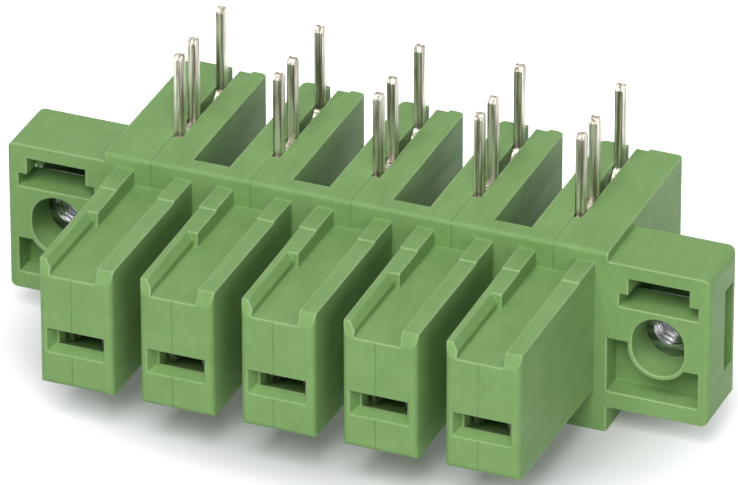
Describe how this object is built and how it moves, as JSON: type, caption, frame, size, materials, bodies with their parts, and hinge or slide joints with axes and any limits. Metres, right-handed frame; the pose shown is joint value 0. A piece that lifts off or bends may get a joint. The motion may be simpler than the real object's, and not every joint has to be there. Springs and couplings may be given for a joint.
{
  "type": "pluggable terminal block header",
  "caption": "Board-side header of a pluggable terminal block: a row of socket towers on a plate, solder pins behind it and a screw flange with a square nut at each end.",
  "frame": {"origin": "middle of the part's bounding box in X and Y, at the underside of the plate and chambers", "axes": "+X along the row of poles, -Y towards the mating plug, +Z along the solder pins towards the circuit board"},
  "size_m": [0.0534, 0.029, 0.0207],
  "materials": {
    "housing": "satin moulded polyamide",
    "contact": "tin-plated copper alloy strip",
    "over_spring": "plain stainless spring steel",
    "nut": "zinc-plated steel"
  },
  "bodies": {
    "root": {"housing": "housing", "contact_1": "contact", "contact_2": "contact", "contact_3": "contact", "contact_4": "contact", "contact_5": "contact", "contact_spring_1": "over_spring", "contact_spring_2": "over_spring", "contact_spring_3": "over_spring", "contact_spring_4": "over_spring", "contact_spring_5": "over_spring", "nut_left": "nut", "nut_right": "nut"}
  },
  "joints": []
}
